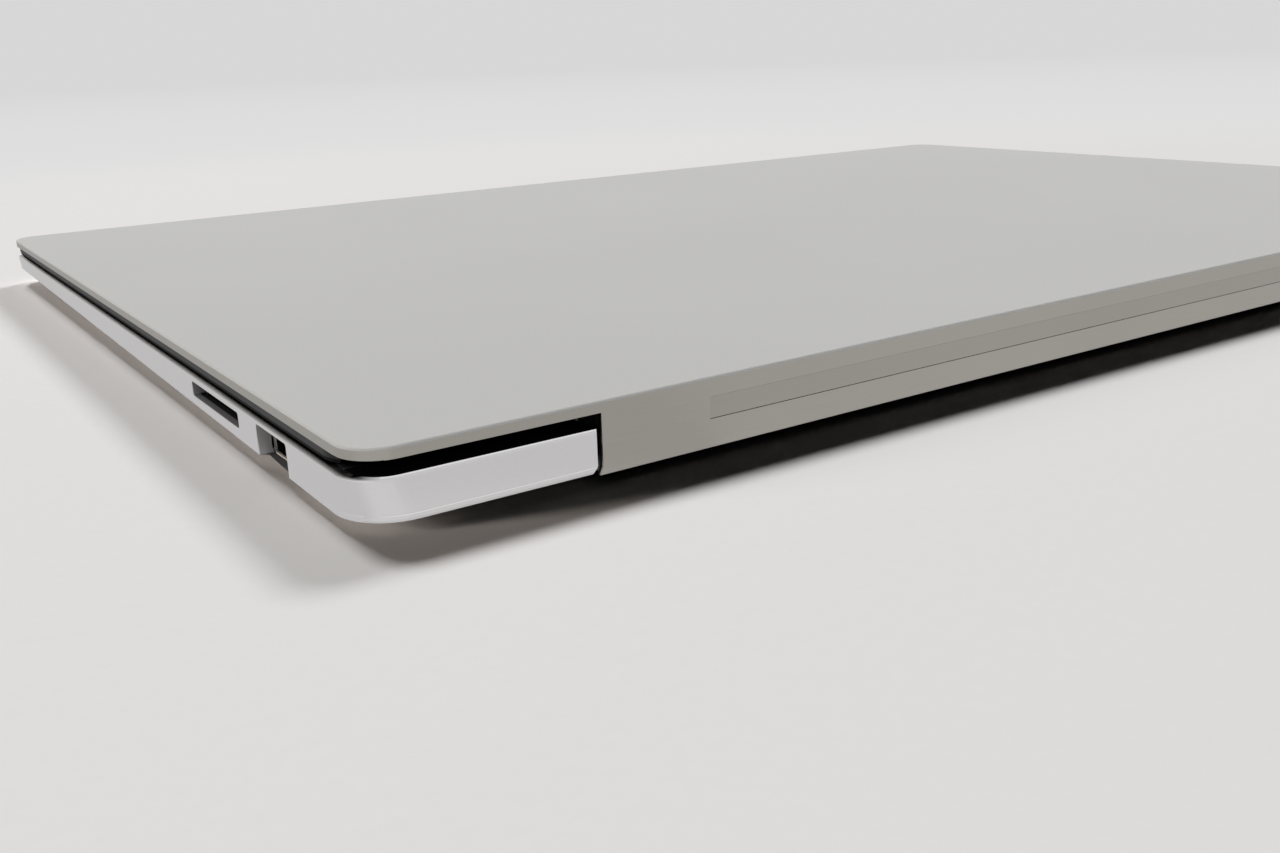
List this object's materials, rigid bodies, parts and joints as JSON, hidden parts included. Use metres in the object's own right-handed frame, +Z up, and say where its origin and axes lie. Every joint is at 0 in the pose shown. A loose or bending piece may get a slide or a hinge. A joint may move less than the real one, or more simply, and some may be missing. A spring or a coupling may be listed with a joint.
{
  "type": "notebook computer",
  "caption": "Thin clamshell notebook computer with a flat metal lid on a wide drop hinge, keyboard, touchpad, display, side sockets and rubber feet.",
  "frame": {"origin": "under the middle of the footprint, on the table plane", "axes": "+X to the user's right, +Y to the hinge at the rear, +Z up"},
  "size_m": [0.3536, 0.243, 0.0119],
  "materials": {
    "lid_metal": "fine matt ceramic coat",
    "case_metal": "satin anodised",
    "strip_metal": "brushed",
    "grille_metal": "satin anodised, perforated",
    "cover_metal": "satin anodised",
    "frame_plastic": "fine texture",
    "seal_rubber": "matt",
    "foot_rubber": "matt",
    "panel_glass": "dark gloss",
    "lens_glass": "gloss",
    "pad_glass": "etched matt",
    "key_plastic": "soft touch",
    "steel": "plain",
    "screw_steel": "plain",
    "shell_steel": "bright nickel",
    "board": "solder mask",
    "chip": "moulded",
    "copper": "plain copper",
    "fin_metal": "plain",
    "fan_plastic": "moulded",
    "cell_wrap": "film",
    "lead_jacket": "jacket"
  },
  "bodies": {
    "base": {"top_case": "case_metal", "bottom_cover": "cover_metal", "rear_foot": "foot_rubber", "front_feet": "foot_rubber", "bottom_screws": "screw_steel", "air_grille": "grille_metal", "keyboard_plate": "steel", "touchpad_bracket": "steel", "fan_housing_left": "fan_plastic", "fan_housing_right": "fan_plastic", "heat_fins": "fin_metal", "heat_spreader": "copper", "mainboard": "board", "processor": "chip", "ssd_module": "board", "wireless_card": "board", "port_board_left": "board", "port_board_right": "board", "usb_a_socket": "shell_steel", "sd_card_socket": "shell_steel", "hdmi_socket": "shell_steel", "usb_c_sockets": "shell_steel", "audio_jack": "fan_plastic", "battery": "cell_wrap", "speaker_left": "fan_plastic", "speaker_right": "fan_plastic", "hinge_pin_left": "steel", "hinge_pin_right": "steel", "base_hinge_left": "steel", "base_hinge_right": "steel", "hinge_screws": "screw_steel", "panel_lead_base": "lead_jacket"},
    "lid": {"lid_cover": "lid_metal", "lid_trim_strip": "strip_metal", "hinge_barrel": "frame_plastic", "display_bezel": "frame_plastic", "display_panel": "panel_glass", "lid_seal": "seal_rubber", "webcam_module": "lens_glass", "panel_board": "board", "panel_lead_lid": "lead_jacket", "lid_hinge_left": "steel", "lid_hinge_right": "steel"},
    "touchpad": {"touchpad": "pad_glass"},
    "fan_left": {"fan_rotor_left": "fan_plastic"},
    "fan_right": {"fan_rotor_right": "fan_plastic"},
    "escape_key": {"escape_key": "key_plastic"},
    "power_key": {"power_key": "key_plastic"},
    "backspace_key": {"backspace_key": "key_plastic"},
    "enter_key": {"enter_key": "key_plastic"},
    "left_shift_key": {"left_shift_key": "key_plastic"},
    "right_shift_key": {"right_shift_key": "key_plastic"},
    "space_bar": {"space_bar": "key_plastic"},
    "function_keys": {"function_keys": "key_plastic"},
    "number_keys": {"number_keys": "key_plastic"},
    "upper_letter_keys": {"upper_letter_keys": "key_plastic"},
    "home_letter_keys": {"home_letter_keys": "key_plastic"},
    "lower_letter_keys": {"lower_letter_keys": "key_plastic"},
    "modifier_keys": {"modifier_keys": "key_plastic"},
    "arrow_keys": {"arrow_keys": "key_plastic"}
  },
  "joints": [
    {"name": "lid_hinge", "type": "hinge", "parent": "base", "child": "lid", "pos_m": [0, 0.1193, 0.0059], "axis": [-1, 0, 0], "range_deg": [0, 120]},
    {"name": "touchpad_click", "type": "hinge", "parent": "base", "child": "touchpad", "pos_m": [0, -0.0209, 0.00718], "axis": [1, 0, 0], "range_deg": [0, 0.35], "stiffness_Nm_per_rad": 6, "springref_deg": -0.23},
    {"name": "fan_left_spin", "type": "hinge", "parent": "base", "child": "fan_left", "pos_m": [-0.114, 0.0763, 0.004], "axis": [0, 0, 1], "continuous": true},
    {"name": "fan_right_spin", "type": "hinge", "parent": "base", "child": "fan_right", "pos_m": [0.114, 0.0763, 0.004], "axis": [0, 0, 1], "continuous": true},
    {"name": "escape_key_press", "type": "slide", "parent": "base", "child": "escape_key", "axis": [0, 0, -1], "range_m": [0, 0.0011], "stiffness_N_per_m": 300, "springref_m": -0.0005},
    {"name": "power_key_press", "type": "slide", "parent": "base", "child": "power_key", "axis": [0, 0, -1], "range_m": [0, 0.0011], "stiffness_N_per_m": 300, "springref_m": -0.0005},
    {"name": "backspace_key_press", "type": "slide", "parent": "base", "child": "backspace_key", "axis": [0, 0, -1], "range_m": [0, 0.0011], "stiffness_N_per_m": 300, "springref_m": -0.0005},
    {"name": "enter_key_press", "type": "slide", "parent": "base", "child": "enter_key", "axis": [0, 0, -1], "range_m": [0, 0.0011], "stiffness_N_per_m": 300, "springref_m": -0.0005},
    {"name": "left_shift_key_press", "type": "slide", "parent": "base", "child": "left_shift_key", "axis": [0, 0, -1], "range_m": [0, 0.0011], "stiffness_N_per_m": 300, "springref_m": -0.0005},
    {"name": "right_shift_key_press", "type": "slide", "parent": "base", "child": "right_shift_key", "axis": [0, 0, -1], "range_m": [0, 0.0011], "stiffness_N_per_m": 300, "springref_m": -0.0005},
    {"name": "space_bar_press", "type": "slide", "parent": "base", "child": "space_bar", "axis": [0, 0, -1], "range_m": [0, 0.0011], "stiffness_N_per_m": 300, "springref_m": -0.0005},
    {"name": "function_keys_press", "type": "slide", "parent": "base", "child": "function_keys", "axis": [0, 0, -1], "range_m": [0, 0.0011], "stiffness_N_per_m": 300, "springref_m": -0.0005},
    {"name": "number_keys_press", "type": "slide", "parent": "base", "child": "number_keys", "axis": [0, 0, -1], "range_m": [0, 0.0011], "stiffness_N_per_m": 300, "springref_m": -0.0005},
    {"name": "upper_letter_keys_press", "type": "slide", "parent": "base", "child": "upper_letter_keys", "axis": [0, 0, -1], "range_m": [0, 0.0011], "stiffness_N_per_m": 300, "springref_m": -0.0005},
    {"name": "home_letter_keys_press", "type": "slide", "parent": "base", "child": "home_letter_keys", "axis": [0, 0, -1], "range_m": [0, 0.0011], "stiffness_N_per_m": 300, "springref_m": -0.0005},
    {"name": "lower_letter_keys_press", "type": "slide", "parent": "base", "child": "lower_letter_keys", "axis": [0, 0, -1], "range_m": [0, 0.0011], "stiffness_N_per_m": 300, "springref_m": -0.0005},
    {"name": "modifier_keys_press", "type": "slide", "parent": "base", "child": "modifier_keys", "axis": [0, 0, -1], "range_m": [0, 0.0011], "stiffness_N_per_m": 300, "springref_m": -0.0005},
    {"name": "arrow_keys_press", "type": "slide", "parent": "base", "child": "arrow_keys", "axis": [0, 0, -1], "range_m": [0, 0.0011], "stiffness_N_per_m": 300, "springref_m": -0.0005}
  ]
}
